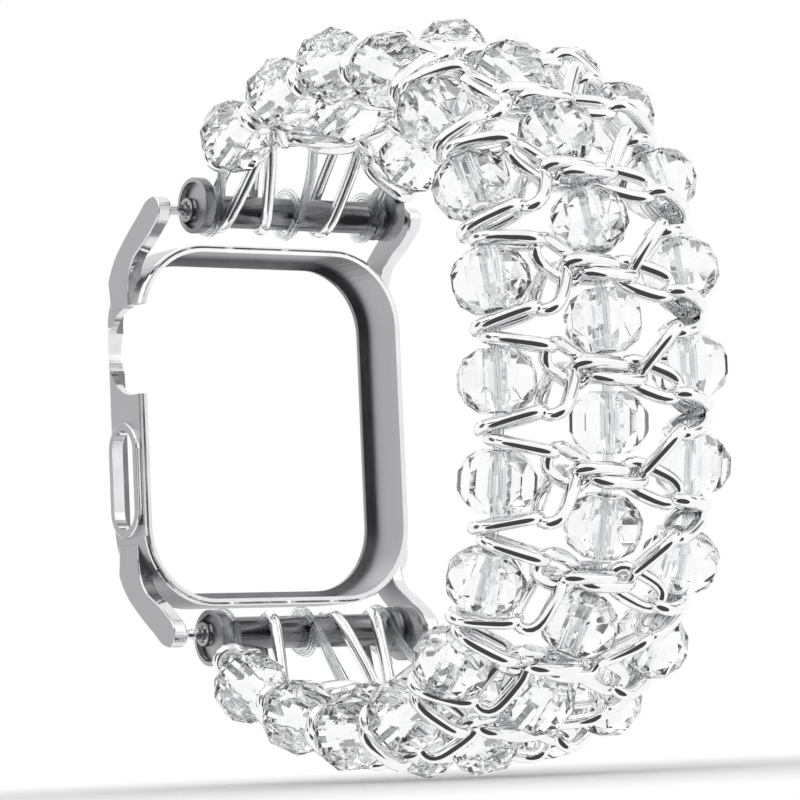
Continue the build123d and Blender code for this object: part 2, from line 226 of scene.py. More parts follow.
def step(tree, kind, operation, *inputs):
    """The output of a new math node whose inputs are linked sockets or plain values."""
    node = tree.nodes.new(kind)
    node.operation = operation
    for socket, value in zip(node.inputs, inputs):
        if isinstance(value, bpy.types.NodeSocket):
            tree.links.new(value, socket)
        else:
            socket.default_value = value
    return node.outputs["Value" if operation == "LENGTH" else 0]


def node_group(name, vectors, floats, results):
    """A new shader node group with its named inputs and outputs, and the ends inside it."""
    group = bpy.data.node_groups.new(name, "ShaderNodeTree")
    for names, way, kind in (
        (vectors, "INPUT", "NodeSocketVector"), (floats, "INPUT", "NodeSocketFloat"),
        (results, "OUTPUT", "NodeSocketFloat"),
    ):
        for socket in names:
            group.interface.new_socket(socket, in_out=way, socket_type=kind)
    inside = group.nodes.new("NodeGroupInput").outputs
    outside = group.nodes.new("NodeGroupOutput").inputs
    return group, inside, outside


def wear_group():
    """Fine wear of a surface: a roughness and a bump height that vary over it."""
    group = bpy.data.node_groups.get("Fine Wear")
    if group:
        return group
    group, inside, outside = node_group(
        "Fine Wear", ["Stretch"], ["Roughness", "Amount", "Scale"], ["Roughness", "Height"]
    )
    place = group.nodes.new("ShaderNodeTexCoord").outputs["Object"]
    fine = group.nodes.new("ShaderNodeTexNoise")
    set_inputs(fine, {"Detail": 6.0})
    stretched = step(group, VECTOR, "MULTIPLY", place, inside["Stretch"])
    group.links.new(stretched, fine.inputs["Vector"])
    group.links.new(inside["Scale"], fine.inputs["Scale"])
    noise = fine.outputs["Fac"]
    rough = step(group, MATH, "MULTIPLY_ADD", noise, inside["Amount"], inside["Roughness"])
    group.links.new(rough, outside["Roughness"])
    group.links.new(noise, outside["Height"])
    return group


def finish_material(name, colour_name, metallic, roughness, amount=0.08, scale=900.0,
                    stretch=(1.0, 1.0, 1.0), bump=0.02, depth=0.02, vary=0.04):
    """A surface with its wear, of one of the band's colours."""
    material = bpy.data.materials.get(name)
    if material:
        return material
    material = bpy.data.materials.new(name)
    material.use_nodes = True
    nodes, links = material.node_tree.nodes, material.node_tree.links
    shader = nodes["Principled BSDF"]
    set_inputs(shader, {"Metallic": metallic})
    wear = nodes.new("ShaderNodeGroup")
    wear.node_tree = wear_group()
    set_inputs(wear, {"Roughness": roughness - amount / 2, "Amount": amount, "Scale": scale,
                      "Stretch": stretch})
    links.new(wear.outputs["Roughness"], shader.inputs["Roughness"])
    tint = getattr(bpy.context.scene.band_colours, colour_name)
    ramp = nodes.new("ShaderNodeValToRGB")
    for stop, position, way in zip(ramp.color_ramp.elements, (0.3, 0.7), (-1, 1)):
        stop.position = position
        stop.color = (*(min(1.0, v * (1.0 + way * vary)) for v in tint), 1.0)
    links.new(wear.outputs["Height"], ramp.inputs["Fac"])
    links.new(ramp.outputs["Color"], shader.inputs["Base Color"])
    relief = nodes.new("ShaderNodeBump")
    set_inputs(relief, {"Strength": bump, "Distance": depth * MM})
    links.new(wear.outputs["Height"], relief.inputs["Height"])
    links.new(relief.outputs["Normal"], shader.inputs["Normal"])
    return material


def clear_material(name, colour_name, ior, roughness, **wear):
    """A clear surface of glass or elastic."""
    material = finish_material(name, colour_name, 0.0, roughness, **wear)
    shader = material.node_tree.nodes["Principled BSDF"]
    set_inputs(shader, {"IOR": ior, "Transmission Weight": 1.0})
    return material


def silver():
    return finish_material("Polished Silver", "silver", 1.0, 0.07, amount=0.05, scale=700.0)


def satin():
    return finish_material("Satin Steel", "satin", 1.0, 0.36, amount=0.14, scale=260.0,
                           stretch=(1.0, 14.0, 1.0), bump=0.12, depth=0.03)


def bright():
    return finish_material("Bright Steel", "bright", 1.0, 0.12, amount=0.05, scale=500.0)


def dark():
    return finish_material("Dark Plate", "dark", 1.0, 0.2, amount=0.12, scale=420.0, vary=0.1)


def crystal():
    return clear_material("Clear Crystal", "crystal", 1.46, 0.06, amount=0.04, scale=240.0,
                          vary=0.008)


def elastic():
    return clear_material("Clear Elastic", "elastic", 1.45, 0.16, amount=0.12, scale=1500.0)


# Helpers for meshes


def add_object(name, data):
    """A new object in the scene for a mesh, a curve, a lamp or the camera."""
    made = bpy.data.objects.new(name, data)
    bpy.context.collection.objects.link(made)
    return made


def mesh_of(bm, name):
    """A mesh with what a bmesh holds, which ends the bmesh."""
    mesh = bpy.data.meshes.new(name)
    bm.to_mesh(mesh)
    bm.free()
    return mesh


def keep(name, body, bm, materials, node):
    """Makes a bmesh in millimetres a finished piece that rides on a body, for a CAD node."""
    bmesh.ops.scale(bm, vec=(MM, MM, MM), verts=bm.verts)
    piece = add_object(name, mesh_of(bm, name))
    for material in materials:
        piece.data.materials.append(material)
    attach(piece, body)
    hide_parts(node)
    return piece


def only(kind, geom):
    """The vertices or the edges among what a bmesh operator gives."""
    return [g for g in geom if isinstance(g, kind)]


def add_shape(bm, mesh, matrix):
    """Adds a copy of a mesh to a bmesh at a place."""
    before = len(bm.verts)
    bm.from_mesh(mesh)
    bm.verts.ensure_lookup_table()
    bmesh.ops.transform(bm, matrix=matrix, verts=bm.verts[before:])


def soften(bm, geom, offset, segments, affect="EDGES"):
    """Bevels some edges or corners of a bmesh."""
    bmesh.ops.bevel(bm, geom=geom, offset=offset, offset_type="OFFSET", segments=segments,
                    profile=0.5, affect=affect, material=-1, clamp_overlap=True)


def thicken(bm, height):
    """Raises a flat outline along Z into a block."""
    made = bmesh.ops.extrude_face_region(bm, geom=list(bm.faces))["geom"]
    bmesh.ops.translate(bm, vec=(0, 0, height), verts=only(bmesh.types.BMVert, made))
    bmesh.ops.recalc_face_normals(bm, faces=bm.faces)


def level_edges(bm):
    """The edges of a block or rod along Z that lie round its two ends."""
    return [e for e in bm.edges if abs(e.verts[0].co.z - e.verts[1].co.z) < 1e-6]


def solids_of(node):
    """Middle, axes and size in millimetres of each solid of a CAD node, longest spread first."""
    bm = bmesh.new()
    bm.from_mesh(frame["nodes"][node].data)
    bmesh.ops.remove_doubles(bm, verts=bm.verts, dist=1e-6)
    seen = set()
    found = []
    for start in bm.verts:
        if start in seen:
            continue
        seen.add(start)
        group = [start]
        for vert in group:
            for edge in vert.link_edges:
                other = edge.other_vert(vert)
                if other not in seen:
                    seen.add(other)
                    group.append(other)
        points = np.array([v.co for v in group]) / MM
        middle = points.mean(axis=0)
        spread = np.cov((points - middle).T)
        axes = np.linalg.eigh(spread)[1][:, ::-1].T
        axes[2] = np.cross(axes[0], axes[1])
        reach = (points - middle) @ axes.T
        found.append((Vector(middle), [Vector(a) for a in axes], np.ptp(reach, axis=0)))
    bm.free()
    return found


def placed(middle, axes):
    """The matrix that puts a shape's own X, Y and Z on these axes at this middle."""
    return Matrix.Translation(middle) @ Matrix(axes).transposed().to_4x4()


# Chain


# Points round a link's wire and steps round each of its ends. A Subdivision Surface rounds both.
WIRE_POINTS, END_STEPS = 6, 4


def link_mesh(long, wide, wire, press):
    """One oval link lying in XY with its length along X, from a circle that is swept round."""
    bm = bmesh.new()
    half = (wide - wire) / 2
    straight = (long - wide) / 2
    ring = bmesh.ops.create_circle(bm, segments=WIRE_POINTS, radius=wire / 2)["verts"]
    bmesh.ops.scale(bm, vec=(press, 1.0, 1.0), verts=ring)
    bmesh.ops.rotate(bm, cent=(0, 0, 0), matrix=Matrix.Rotation(math.pi / 2, 3, "Y"), verts=ring)
    bmesh.ops.translate(bm, vec=(-straight, half, 0), verts=ring)
    edges = list(bm.edges)
    for side in (1, -1):
        for _ in range(2):
            made = bmesh.ops.extrude_edge_only(bm, edges=edges)["geom"]
            edges = only(bmesh.types.BMEdge, made)
            points = only(bmesh.types.BMVert, made)
            bmesh.ops.translate(bm, vec=(side * straight, 0, 0), verts=points)
        turned = bmesh.ops.spin(
            bm, geom=edges, cent=(side * straight, 0, 0), axis=(0, 0, 1), angle=-math.pi,
            steps=END_STEPS, use_merge=False, use_normal_flip=False, use_duplicate=False,
        )["geom_last"]
        edges = only(bmesh.types.BMEdge, turned)
    bmesh.ops.remove_doubles(bm, verts=bm.verts, dist=0.001)
    bmesh.ops.recalc_face_normals(bm, faces=bm.faces)
    for face in bm.faces:
        face.smooth = True
    return mesh_of(bm, "link")


class BAND_OT_chain(bpy.types.Operator):
    """Make the hooked curb links of every row and the long loops on the tubes"""

    bl_idname = "band.chain"
    bl_label = "Chain"

    def execute(self, context):
        sizes = context.scene.chain_sizes
        shapes = {}
        jobs = [(f"chain_{row}", row) for row in ROWS]
        for end in ENDS:
            jobs += [(f"chain_end_{end}", f"loops_{end}"), (f"tube_loops_{end}", f"loops_{end}")]
        for node, body in jobs:
            bm = bmesh.new()
            for middle, axes, size in solids_of(node):
                key = (round(size[0], 2), round(size[1], 2))
                if key not in shapes:
                    shapes[key] = link_mesh(*key, sizes.wire / MM, sizes.press)
                add_shape(bm, shapes[key], placed(middle, axes))
            name = node.replace("chain_", "links_").replace("tube_loops", "long_loops")
            piece = keep(name, body, bm, [silver()], node)
            rounding = piece.modifiers.new("Round", "SUBSURF")
            rounding.levels = rounding.render_levels = 1
        for mesh in shapes.values():
            bpy.data.meshes.remove(mesh)
        return {"FINISHED"}


# Beads


# Turn in radians from the facets of one bead to those of the next.
BEAD_TURN = 0.61


def bead_mesh(sizes, long):
    """One faceted bead with its hole along Z, the hull of rings of points."""
    bm = bmesh.new()
    count = sizes.facets
    rings = (
        (sizes.table / MM, long / 2, 0.0),
        (sizes.shoulder / MM, sizes.shoulder_height / MM, 0.5),
        (sizes.diameter / MM / 2, sizes.belt / MM / 2, 0.0),
    )
    for radius, height, turned in rings:
        for way in (1, -1):
            points = bmesh.ops.create_circle(bm, segments=count, radius=radius)["verts"]
            turn = Matrix.Rotation(turned * math.tau / count, 3, "Z")
            bmesh.ops.rotate(bm, cent=(0, 0, 0), matrix=turn, verts=points)
            bmesh.ops.translate(bm, vec=(0, 0, way * height), verts=points)
    bmesh.ops.delete(bm, geom=list(bm.edges), context="EDGES_FACES")
    bmesh.ops.convex_hull(bm, input=bm.verts, use_existing_faces=False)
    bmesh.ops.dissolve_limit(
        bm, angle_limit=math.radians(1), verts=bm.verts, edges=bm.edges, delimit=set()
    )
    bm.normal_update()
    soften(bm, list(bm.edges), sizes.edge / MM, 1)
    bm.normal_update()
    tables = [f for f in bm.faces if abs(f.normal.z) > 0.999 and len(f.verts) >= count]
    for face in tables:
        reach = min(v.co.xy.length for v in face.verts)
        bmesh.ops.inset_individual(
            bm, faces=[face], thickness=reach * math.cos(math.pi / count) - sizes.hole / MM / 2
        )
    rims = [e for f in tables for e in f.edges]
    bmesh.ops.delete(bm, geom=tables, context="FACES_ONLY")
    bmesh.ops.bridge_loops(bm, edges=rims)
    bmesh.ops.recalc_face_normals(bm, faces=bm.faces)
    return mesh_of(bm, "bead")


def beads_of(node):
    """Middle, axes and size of each bead of a CAD node, with the left one first. The hole runs
    one way round the wrist and the second axis lies across the band, in every bead alike."""
    found = []
    for middle, axes, size in solids_of(node):
        hole = axes[0]
        if (middle - BOX_MIDDLE).cross(hole).x < 0:
            hole.negate()
        across = Vector((1, 0, 0))
        across = (across - hole * across.dot(hole)).normalized()
        found.append((middle, [hole, across, hole.cross(across)], size))
    return sorted(found, key=lambda bead: bead[0].x)


class BAND_OT_beads(bpy.types.Operator):
    """Make the clear faceted beads"""

    bl_idname = "band.beads"
    bl_label = "Beads"

    def execute(self, context):
        jobs = [("beads_end_upper", "loops_upper")] + [(f"beads_{row}", row) for row in ROWS]
        long = beads_of(jobs[0][0])[0][2][0]
        shape = bead_mesh(context.scene.bead_sizes, long)
        turn = 0.0
        for node, body in jobs:
            bm = bmesh.new()
            for middle, (hole, across, third), _ in beads_of(node):
                turn += BEAD_TURN
                own = Matrix.Rotation(turn, 4, "Z")
                add_shape(bm, shape, placed(middle, [across, third, hole]) @ own)
            keep(node.replace("beads_", "crystals_"), body, bm, [crystal()], node)
        bpy.data.meshes.remove(shape)
        return {"FINISHED"}


# Elastic cord


# Share of the spread that the middle strand keeps, and the strands' twist in radians per point.
INNER_SHARE, TWIST = 0.45, 0.35
# How far the middle cord starts above the first bead, in halves of that bead.
LEAD = 1.25
# Reach of the middle cord past the outermost hinges, and of the bend at the lower end, in mm.
END_REACH, BEND_REACH = 3.1, 3.0
# Points of a cord round a tube, and the angle from one to the next.
TURN_POINTS, TURN_STEP = 8, math.radians(50)


def joint_place(name):
    return Vector(JOINTS[name]["pos_m"]) / MM


def draw_strands(curve, path, sizes):
    """Draws one bundle of strands side by side along a path in millimetres."""
    across = Vector((1, 0, 0))
    for i in range(sizes.strands):
        spline = curve.splines.new("NURBS")
        spline.points.add(len(path) - 1)
        reach = sizes.spread / MM * (INNER_SHARE if i == 0 else 1.0)
        for j, point in enumerate(path):
            along = (path[min(j + 1, len(path) - 1)] - path[max(j - 1, 0)]).normalized()
            above = across.cross(along).normalized()
            turn = math.tau * i / sizes.strands + TWIST * j
            offset = across * math.cos(turn) * reach + above * math.sin(turn) * reach
            spline.points[j].co = (*((point + offset) * MM), 1.0)
        spline.order_u = 3
        spline.use_endpoint_u = True


def strand_piece(name, body, paths, node=None, bend=None):
    """Strands of elastic side by side along each path. A bend names the body that the piece comes
    from and the places where it leaves that body and reaches its own, but only whether there is a
    bend is used: a piece with one rides on no body, and its place is baked into its mesh."""
    sizes = bpy.context.scene.cord_sizes
    curve = bpy.data.curves.new(name, "CURVE")
    curve.dimensions = "3D"
    curve.bevel_depth = sizes.strand / 2
    curve.bevel_resolution = 1
    curve.resolution_u = 4
    curve.use_fill_caps = True
    for path in paths:
        draw_strands(curve, path, sizes)
    drawn = add_object("strands", curve)
    graph = bpy.context.evaluated_depsgraph_get()
    mesh = bpy.data.meshes.new_from_object(drawn.evaluated_get(graph))
    bpy.data.objects.remove(drawn)
    bpy.data.curves.remove(curve)
    mesh.name = name
    mesh.materials.clear()
    mesh.materials.append(elastic())
    piece = add_object(name, mesh)
    if bend:
        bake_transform(piece)
    else:
        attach(piece, body)
    if node:
        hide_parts(node)


def bead_span(bead, towards):
    """The two ends of a bead's hole, the one on the way to a point first."""
    middle, axes, size = bead
    way = axes[0] * (size[0] / 2)
    if way.dot(towards - middle) < 0:
        way.negate()
    return middle + way, middle - way


def round_tube(end, x, leads, tube, way):
    """The path of a column's cord from its last places round a tube and back again."""
    sizes = bpy.context.scene.cord_sizes
    fitting = bpy.context.scene.fitting_sizes
    out = Vector((0, -way.z, way.y)) * (1 if end == "upper" else -1)
    ring = (fitting.tube / 2 + sizes.tube_gap) / MM / math.cos(TURN_STEP / 2)
    turned = []
    for i in range(TURN_POINTS):
        a = math.pi + TURN_STEP * i
        point = tube - way * (ring * math.sin(a)) + out * (ring * math.cos(a))
        turned.append(Vector((x * sizes.tube_half_span / MM, point.y, point.z)))
    return leads + turned + leads[::-1][:2]


class BAND_OT_cords(bpy.types.Operator):
    """Make the strands of elastic cord through the beads and round the tubes"""

    bl_idname = "band.cords"
    bl_label = "Cords"

    def execute(self, context):
        hinges = [joint_place(f"{name}_bend") for name in ROWS + ["loops_lower"]]
        rows = [beads_of(f"beads_{name}") for name in ROWS]
        ends = beads_of("beads_end_upper")
        first = {-1: ends[0], 1: ends[-1]}
        last = dict(first)
        top = bead_span(rows[0][1], hinges[0])[0]
        place = top + (top - rows[0][1][0]) * LEAD
        joins = {"upper": place}
        above = "loops_upper"
        for body, row, hinge, below in zip(ROWS, rows, hinges, hinges[1:]):
            top, low = bead_span(row[1], hinge)
            strand_piece(body.replace("row", "elastic_middle"), body, [[place, top, low]],
                         bend=(above, place, top))
            place = low
            paths = []
            for side in last:
                before = bead_span(last[side], below)[0]
                last[side] = row[side + 1]
                paths.append([before, *bead_span(last[side], before)])
            leave, reach = [(paths[0][i] + paths[1][i]) / 2 for i in range(2)]
            strand_piece(f"elastic_{body}", body, paths, f"cord_{body}", (above, leave, reach))
            above = body
        joins["lower"] = place
        self.ends(context, hinges, joins, first, last)
        return {"FINISHED"}

    def ends(self, context, hinges, joins, first, last):
        """Makes the cords between the outermost beads and the tubes."""
        sizes = context.scene.cord_sizes
        fitting = context.scene.fitting_sizes
        for end, joint in ENDS.items():
            hinge = hinges[0 if end == "upper" else -1]
            tube = joint_place(joint)
            way = (tube - hinge).normalized()
            knee = hinge + way * (
                (tube - hinge).length - (fitting.disc_offset + fitting.disc / 2) / MM
            )
            paths = []
            for x in (-1, 0, 1):
                beside = Vector((x * sizes.disc_half_span / MM, knee.y, knee.z))
                if x == 0:
                    leads = [joins[end], hinge + way * END_REACH]
                elif end == "upper":
                    leads = [*bead_span(first[x], hinges[1]), beside]
                else:
                    leads = [bead_span(last[x], tube)[0], beside]
                paths.append(round_tube(end, x, leads, tube, way))
            bend = None
            if end == "lower":
                leave = (paths[0][0] + paths[2][0]) / 2
                bend = (ROWS[-1], leave, leave + way * BEND_REACH)
            strand_piece(f"elastic_end_{end}", f"loops_{end}", paths, f"cord_end_{end}", bend)


# Case frame


def plate(outline, z0, z1, rounds, edge_low=0.0, edge_high=0.0):
    """A rounded rectangular block with rounded rims at its two faces, as a bmesh. The outline
    is its half width, its half height and the radius of its corners."""
    half_x, half_y, corner = outline
    bm = bmesh.new()
    bmesh.ops.create_grid(bm, x_segments=1, y_segments=1, size=1.0)
    bmesh.ops.scale(bm, vec=(half_x, half_y, 1.0), verts=bm.verts)
    bmesh.ops.translate(bm, vec=(0, 0, z0), verts=bm.verts)
    soften(bm, list(bm.verts), corner, rounds, "VERTICES")
    bmesh.ops.remove_doubles(bm, verts=bm.verts, dist=0.002)
    thicken(bm, z1 - z0)
    for height, size in ((z0, edge_low), (z1, edge_high)):
        if size:
            rim = [e for e in bm.edges if all(abs(v.co.z - height) < 1e-4 for v in e.verts)]
            soften(bm, rim, size, 3)
    return bm


def inset(outline, amount):
    """A plate's outline made smaller all round."""
    return tuple(size - amount for size in outline)


def moved(bm, x, y):
    """Moves a bmesh across and up."""
    bmesh.ops.translate(bm, vec=(x, y, 0), verts=bm.verts)
    return bm


def rod_shape(radius, x0, x1, y, z, edge=0.0, segments=40):
    """A round rod along X as a bmesh, with softened ends."""
    bm = bmesh.new()
    bmesh.ops.create_cone(bm, cap_ends=True, segments=segments, radius1=radius, radius2=radius,
                          depth=abs(x1 - x0))
    if edge:
        soften(bm, level_edges(bm), edge, 3)
    bmesh.ops.rotate(bm, cent=(0, 0, 0), matrix=Matrix.Rotation(math.pi / 2, 3, "Y"),
                     verts=bm.verts)
    bmesh.ops.translate(bm, vec=((x0 + x1) / 2, y, z), verts=bm.verts)
    return bm


# What one bmesh does to another, and how close in mm two points are one after a cut.
ADD, CUT = "UNION", "DIFFERENCE"
WELD = 0.003


def combined(bm, steps):
    """Adds and cuts bmeshes one after another with Boolean modifiers and gives the result."""
    body = add_object("body", mesh_of(bm, "body"))
    tools = []
    for way, tool_bm in steps:
        tool = add_object("tool", mesh_of(tool_bm, "tool"))
        change = body.modifiers.new("Cut", "BOOLEAN")
        change.operation = way
        change.solver = "EXACT"
        change.object = tool
        tools.append(tool)
    result = bmesh.new()
    result.from_object(body, bpy.context.evaluated_depsgraph_get())
    for used in tools + [body]:
        old = used.data
        bpy.data.objects.remove(used)
        bpy.data.meshes.remove(old)
    return result


def facing_wrist(bm, y):
    """Turns a bmesh so that its X, Y and Z are the frame's X, Z and the way to the wrist."""
    turn = Matrix(((1, 0, 0, 0), (0, 0, -1, y), (0, 1, 0, 0), (0, 0, 0, 1)))
    bmesh.ops.transform(bm, matrix=turn, verts=bm.verts)
    return bm


def facing_side(bm, x, front, way=-1):
    """Turns a bmesh so that its X runs back from the front, its Y up and its Z to a side."""
    turn = Matrix(((0, 0, way, x), (-1, 0, 0, front), (0, 1, 0, 0), (0, 0, 0, 1)))
    bmesh.ops.transform(bm, matrix=turn, verts=bm.verts)
    if way > 0:
        bmesh.ops.reverse_faces(bm, faces=bm.faces)
    return bm


# Places on the side walls in mm: a depth behind the frame's front and a height.
NOTCH = (5.25, 8.4)
BAR_HOLES = (10.8, 23.4)
BUTTON_PLACE = (3.4, -6.0)
BUTTON_OUTLINE = (3.1, 6.45, 3.09)
# The pads of the other wall: their depth, half width and corner, their heights and halves.
PAD_DEPTH, PAD_HALF, PAD_CORNER = 3.4, 2.2, 2.19
PADS = ((10.9, 3.5), (-0.3, 4.4), (-13.2, 3.5))
# How far inside the wall's outer face the crown notch and the button's window are cut.
NOTCH_CUT, BUTTON_CUT = 2.2, 2.4
# Softening of the edges of the button's rim, of a pad and of a lug.
RIM_EDGE, PAD_EDGE, LUG_EDGE = 0.2, 0.25, 0.3
# Steps round a corner of the frame and round one of the small plates on its walls.
FRAME_ROUNDS, SMALL_ROUNDS = 14, 8

# A lug's outline, and its rounded corners: the first, the one after them, radius and steps.
LUG_OUTLINE = (
    (1.0, 13.1), (0.6, 16.4), (1.7, 18.6), (5.2, 21.5), (8.1, 23.5), (9.5, 24.75),
    (12.2, 24.75), (12.2, 22.4), (9.4, 20.3), (5.9, 18.3), (4.9, 15.9), (4.9, 13.1),
)
LUG_ROUNDS = ((2, 4, 1.7, 6), (4, 5, 0.55, 3), (7, 11, 1.2, 5))


def lug_shape(sizes, x, low, front):
    """One lug plate with a round tip and softened edges, from its outline."""
    bm = bmesh.new()
    points = [bm.verts.new((depth, height, 0)) for depth, height in LUG_OUTLINE]
    bm.faces.new(points)
    tip = (5, 7, sizes.lug_tip / MM - 0.02, 7)
    for start, stop, radius, rounds in (tip, *LUG_ROUNDS):
        soften(bm, points[start:stop], radius, rounds, "VERTICES")
    thicken(bm, sizes.lug / MM)
    soften(bm, level_edges(bm), LUG_EDGE, 3)
    facing_side(bm, x, front)
    if low:
        bmesh.ops.scale(bm, vec=(1, 1, -1), verts=bm.verts)
        bmesh.ops.reverse_faces(bm, faces=bm.faces)
    return bm


class BAND_OT_case_frame(bpy.types.Operator):
    """Make the metal frame that takes the watch"""

    bl_idname = "band.case_frame"
    bl_label = "Case Frame"

    def execute(self, context):
        s = context.scene.case_frame_sizes
        front, depth, wall, edge = s.lip / MM, s.depth / MM, s.wall / MM, s.edge / MM
        crown = s.crown_notch / MM
        outline = (s.half_width / MM, s.half_height / MM, s.corner / MM)
        side = outline[0]
        body = facing_wrist(plate(outline, 0, depth, FRAME_ROUNDS, edge, edge), front)
        lug_out = side - s.lug_inset / MM
        lug_in = lug_out - s.lug / MM
        steps = [(ADD, lug_shape(s, x, low, front))
                 for x in (lug_out, -lug_in) for low in (False, True)]
        rim = plate(BUTTON_OUTLINE, 0, wall / 2 + s.rim_height / MM, SMALL_ROUNDS, 0, RIM_EDGE)
        steps.append((ADD, facing_side(moved(rim, *BUTTON_PLACE), wall / 2 - side, front)))
        for height, half in PADS:
            pad = plate((PAD_HALF, half, PAD_CORNER), 0, wall / 2 + s.pad_height / MM,
                        SMALL_ROUNDS, 0, PAD_EDGE)
            pad = moved(pad, PAD_DEPTH, height)
            steps.append((ADD, facing_side(pad, side - wall / 2, front, 1)))
        # The cutters reach past the walls by a few millimetres.
        pocket = inset(outline, wall)
        window = inset(pocket, s.overlap / MM)
        mouth = inset(window, -s.bevel / MM)
        slope = plate(mouth, -1, s.bevel / MM, FRAME_ROUNDS)
        bmesh.ops.scale(slope, vec=(window[0] / mouth[0], window[1] / mouth[1], 1),
                        verts=[v for v in slope.verts if v.co.z > 0])
        cutters = [facing_wrist(bm, front) for bm in (
            plate(pocket, front, depth + 5, FRAME_ROUNDS),
            plate(window, -2, front + 1, FRAME_ROUNDS), slope,
        )]
        cutters.append(rod_shape(crown, -side - 2, NOTCH_CUT - side, front - NOTCH[0], NOTCH[1],
                                 segments=96))
        gap = moved(plate((5, crown, 0.02), 0, NOTCH_CUT + 2, 1), NOTCH[0] + 5, NOTCH[1])
        cutters.append(facing_side(gap, NOTCH_CUT - side, front))
        hole = plate(inset(BUTTON_OUTLINE, s.button_rim / MM), 0, 5, SMALL_ROUNDS)
        cutters.append(facing_side(moved(hole, *BUTTON_PLACE), BUTTON_CUT - side, front))
        behind, up = BAR_HOLES
        reach = lug_in + s.lug_hole / MM
        for z in (up, -up):
            cutters.append(rod_shape(s.lug_hole / MM / 2, -reach, reach, front - behind, z))
        bm = combined(body, steps + [(CUT, cutter) for cutter in cutters])
        bmesh.ops.remove_doubles(bm, verts=bm.verts, dist=WELD)
        # Walls of the notch and of the pocket are known by the places of their faces.
        for face in bm.faces:
            middle = face.calc_center_median()
            apart = math.hypot(middle.y - front + NOTCH[0], middle.z - NOTCH[1])
            in_notch = middle.x < 0 and abs(apart - crown) < 0.06
            in_pocket = (abs(middle.x) < pocket[0] + 0.05 and abs(middle.z) < pocket[1] + 0.05
                         and middle.y > -0.2)
            polished = abs(face.normal.y) > 0.12
            face.material_index = 1 if in_notch else 2 if in_pocket else int(polished)
        keep("frame_of_the_case", "frame", bm, [satin(), bright(), dark()],
             "case_frame")
        return {"FINISHED"}


# End fittings and spring bars


# How far joined shapes reach into each other, and the softening of their edges, in mm.
LAP = 0.2
DISC_EDGE, COLLAR_EDGE, BOSS_EDGE = 0.12, 0.1, 0.06
BAR_EDGE, TIP_EDGE, NOSE_EDGE = 0.12, 0.08, 0.14
# A bar's spring: the distance of its turns, half their width and the share that its core takes.
SPRING_PITCH, SPRING_HALF, SPRING_CORE = 0.42, 0.17, 0.6
# A barrel's bore and a tip's nose: the radii, and how long the nose is.
BARREL_BORE, NOSE, NOSE_LENGTH = 0.65, 0.5, 0.95


def smooth_rods(bm):
    """Smooths the round faces of rods along X and leaves their ends flat."""
    for face in bm.faces:
        face.smooth = abs(face.normal.x) < 0.5


def disc_steps(s, side, bar, disc):
    """What makes an offset disc with a rim and a recess round the bar's boss on one side."""
    x1 = side * (s.tube_half + s.collar_thickness) / MM
    x2 = x1 + side * s.disc_thickness / MM
    recess = side * s.recess / MM
    radius = s.disc / MM / 2
    return [
        (ADD, rod_shape(radius, x1, x2, disc.y, disc.z, DISC_EDGE, 48)),
        (CUT, rod_shape(radius - s.rim / MM, x2 - recess, x2 + side, disc.y, disc.z,
                        segments=48)),
        (ADD, rod_shape(s.boss / MM / 2, x2 - 2 * recess, x2, bar.y, bar.z, BOSS_EDGE, 32)),
    ]


class BAND_OT_end_fittings(bpy.types.Operator):
    """Make the tubes with their collars and discs that the band hangs on"""

    bl_idname = "band.end_fittings"
    bl_label = "End Fittings"

    def execute(self, context):
        s = context.scene.fitting_sizes
        half = s.tube_half / MM
        outside = half + s.collar_thickness / MM
        offset = s.disc_offset / MM
        for end, joint in ENDS.items():
            bar = joint_place(joint)
            tilt = s.upper_tilt if end == "upper" else -s.lower_tilt
            disc = bar + Vector((0, -offset * math.cos(tilt), offset * math.sin(tilt)))
            body = rod_shape(s.tube / MM / 2, -half - 2 * LAP, half + 2 * LAP, bar.y, bar.z)
            steps = []
            for side in (-1, 1):
                collar = rod_shape(s.collar / MM / 2, side * half, side * (outside + LAP), bar.y,
                                   bar.z, COLLAR_EDGE)
                steps += [(ADD, collar), *disc_steps(s, side, bar, disc)]
            bore = rod_shape(s.bore / MM / 2, -half - 4, half + 4, bar.y, bar.z, segments=32)
            bm = combined(body, steps + [(CUT, bore)])
            bmesh.ops.remove_doubles(bm, verts=bm.verts, dist=WELD)
            smooth_rods(bm)
            for face in bm.faces:
                outer = abs(face.calc_center_median().x) > outside - 0.01
                face.material_index = int(outer and abs(face.normal.x) > 0.9)
            keep(f"tube_and_discs_{end}", f"end_{end}", bm, [dark(), satin()],
                 f"end_fitting_{end}")
        return {"FINISHED"}


def spring_shape(radius, low, high, y, z):
    """The closed turns of a spring round a core, along a bar."""
    parts = [rod_shape(radius * SPRING_CORE, low, high, y, z, segments=12)]
    for i in range(int((high - low) / SPRING_PITCH)):
        x = low + SPRING_PITCH * (i + 0.5)
        parts.append(rod_shape(radius, x - SPRING_HALF, x + SPRING_HALF, y, z, BAR_EDGE, 20))
    bm = bmesh.new()
    for part in parts:
        mesh = mesh_of(part, "turn")
        bm.from_mesh(mesh)
        bpy.data.meshes.remove(mesh)
    return bm


def barrel_shape(radius, low, high, y, z):
    """The barrel of a spring bar, open at both ends."""
    bore = rod_shape(BARREL_BORE, low - 1, high + 1, y, z, segments=24)
    return combined(rod_shape(radius, low, high, y, z, BAR_EDGE, 32), [(CUT, bore)])


def tip_shape(radius, back, end, y, z):
    """A spring bar's tip with its thin nose, from its back to its outer end."""
    side = math.copysign(1, end - back)
    shoulder = end - side * NOSE_LENGTH
    nose = rod_shape(NOSE, shoulder - side * 0.3, end, y, z, NOSE_EDGE, 24)
    return combined(rod_shape(radius, back, shoulder, y, z, TIP_EDGE, 28), [(ADD, nose)])


